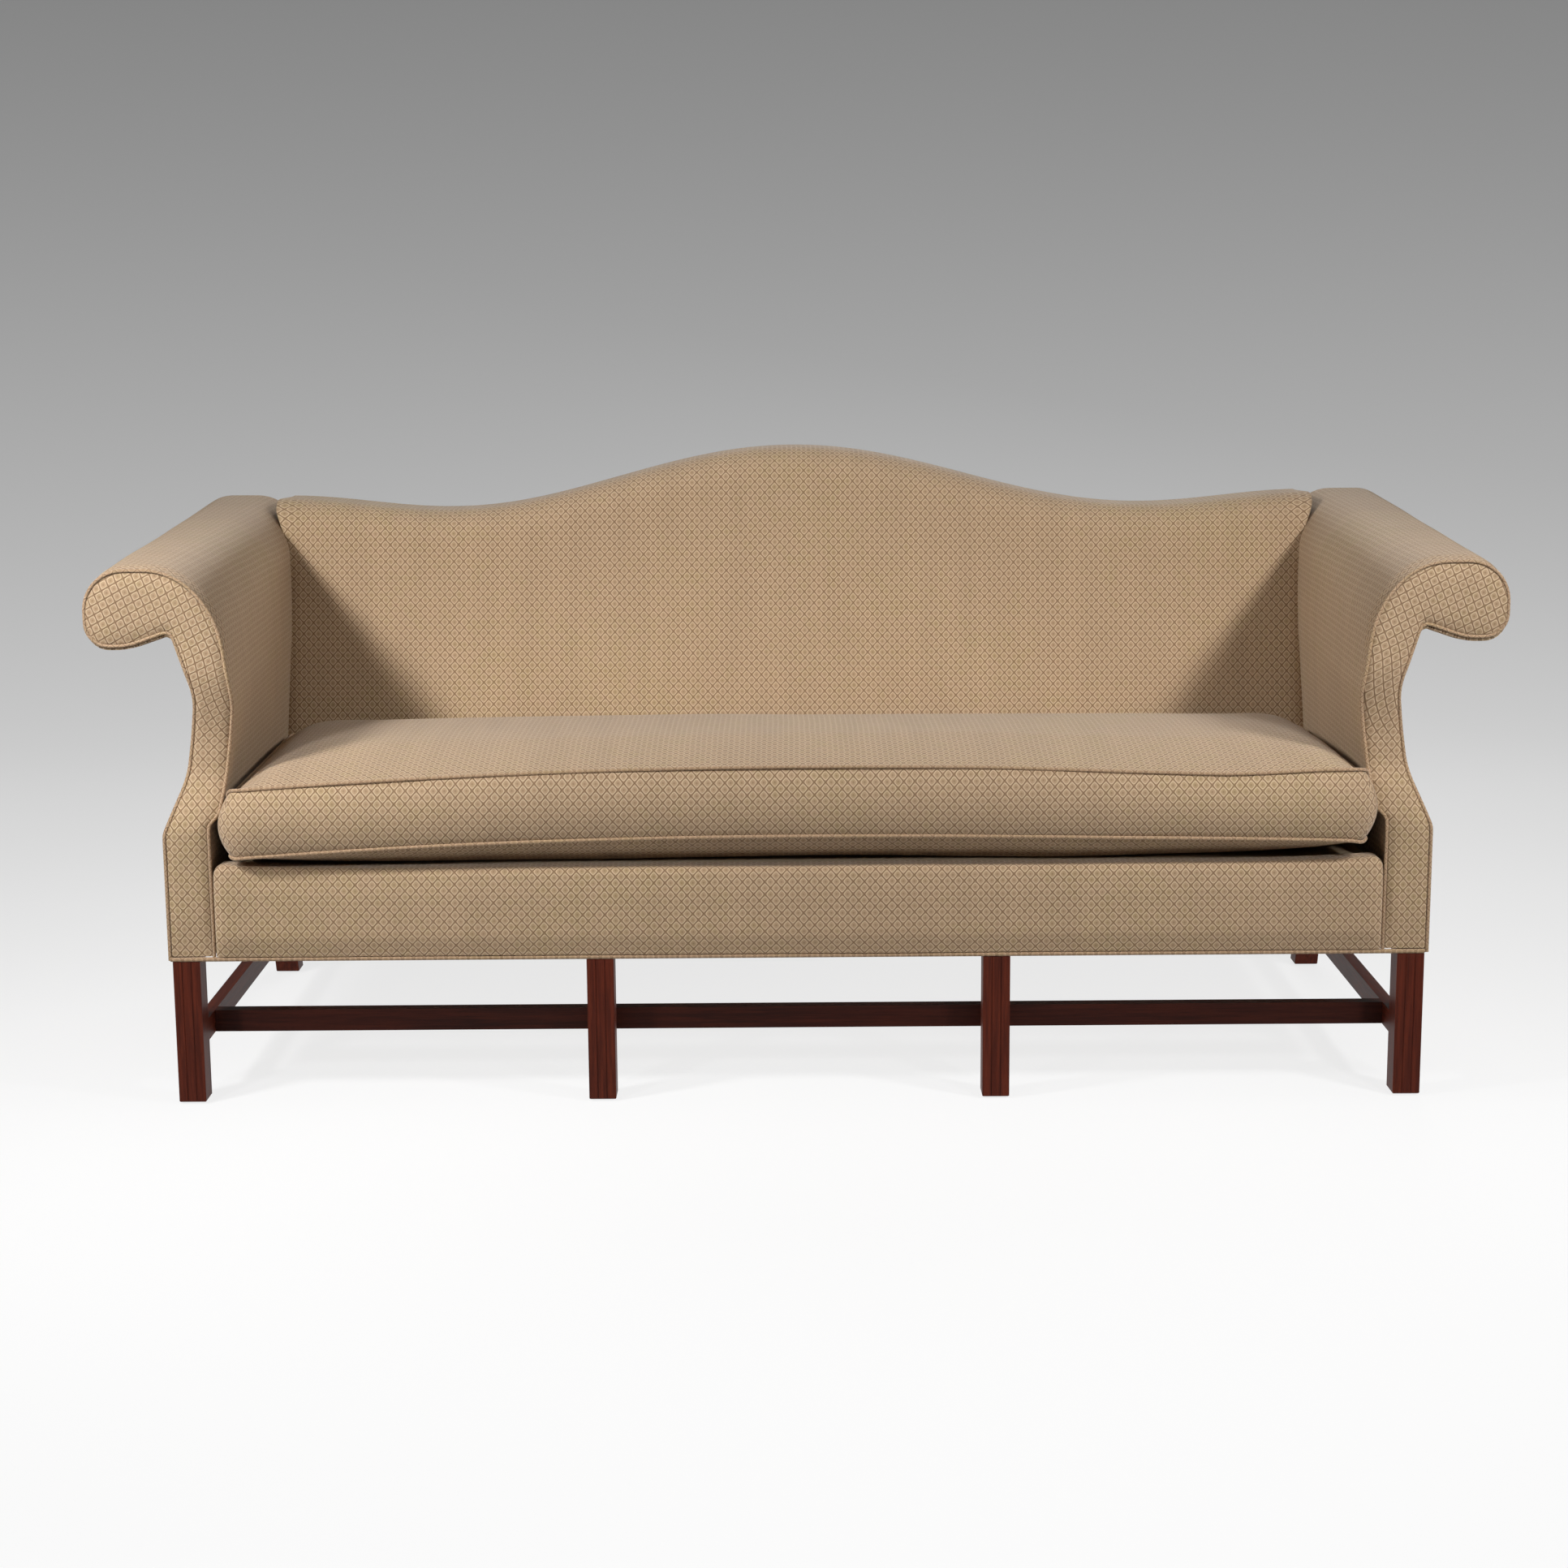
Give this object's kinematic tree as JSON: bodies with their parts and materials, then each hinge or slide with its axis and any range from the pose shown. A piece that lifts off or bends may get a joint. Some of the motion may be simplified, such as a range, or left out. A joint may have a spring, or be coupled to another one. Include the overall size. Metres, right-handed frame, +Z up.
{
  "type": "camelback sofa",
  "caption": "Camelback sofa with rolled scroll arms, one loose bench cushion, straight moulded legs and an H stretcher base, in a woven diamond fabric.",
  "frame": {"origin": "on the floor, in the middle of the sofa's outline seen from above", "axes": "+X along the sofa, to the right as seen from the front; +Y from the front to the back; +Z up"},
  "size_m": [2.11, 0.8763, 0.949],
  "materials": {
    "mahogany": "satin red-brown polish",
    "frame_wood": "bare sawn hardwood",
    "steel": "plain",
    "webbing": "jute",
    "padding": "soft cotton and foam",
    "lining": "plain woven cloth",
    "sofa_fabric": "woven diamond lattice",
    "zip_tape": "woven tape with coil teeth",
    "zip_metal": "dull"
  },
  "bodies": {
    "sofa": {"front_leg_left": "mahogany", "front_leg_right": "mahogany", "middle_leg_left": "mahogany", "middle_leg_right": "mahogany", "back_leg_left": "mahogany", "back_leg_right": "mahogany", "side_stretcher_left": "mahogany", "side_stretcher_right": "mahogany", "long_stretcher": "mahogany", "front_rail": "frame_wood", "back_rail": "frame_wood", "side_rail_left": "frame_wood", "side_rail_right": "frame_wood", "seat_cross_rails": "frame_wood", "corner_blocks": "frame_wood", "scroll_board_left": "frame_wood", "scroll_board_right": "frame_wood", "arm_top_rail_left": "frame_wood", "arm_top_rail_right": "frame_wood", "arm_tack_rails": "frame_wood", "arm_rear_posts": "frame_wood", "back_post_left": "frame_wood", "back_post_right": "frame_wood", "back_uprights": "frame_wood", "back_top_rail": "frame_wood", "back_tack_rail": "frame_wood", "leg_glides": "steel", "corner_screws": "steel", "seat_springs": "steel", "spring_clips": "steel", "back_webbing": "webbing", "arm_pad_left": "padding", "arm_pad_right": "padding", "arm_roll_stuffing": "padding", "back_pad": "padding", "seat_deck_pad": "padding", "front_border_pad": "padding", "spring_insulator": "padding", "dust_cover": "lining", "deck_cover": "lining", "arm_cover_left": "sofa_fabric", "arm_cover_right": "sofa_fabric", "arm_facing_left": "sofa_fabric", "arm_facing_right": "sofa_fabric", "facing_welts": "sofa_fabric", "outside_arm_left": "sofa_fabric", "outside_arm_right": "sofa_fabric", "back_cover": "sofa_fabric", "outside_back": "sofa_fabric", "front_border_cover": "sofa_fabric", "bottom_welt": "sofa_fabric"},
    "seat_cushion": {"cushion_core": "padding", "cushion_top_panel": "sofa_fabric", "cushion_bottom_panel": "sofa_fabric", "cushion_boxing": "sofa_fabric", "cushion_welts": "sofa_fabric", "cushion_zipper": "zip_tape"},
    "zip_slider": {"zip_slider": "zip_metal"}
  },
  "joints": [
    {"name": "cushion_pull", "type": "slide", "parent": "sofa", "child": "seat_cushion", "axis": [0, -0.9997, 0.0227], "range_m": [0, 0.7]},
    {"name": "zip_pull", "type": "slide", "parent": "seat_cushion", "child": "zip_slider", "axis": [1, 0, 0], "range_m": [0, 1.09]}
  ]
}
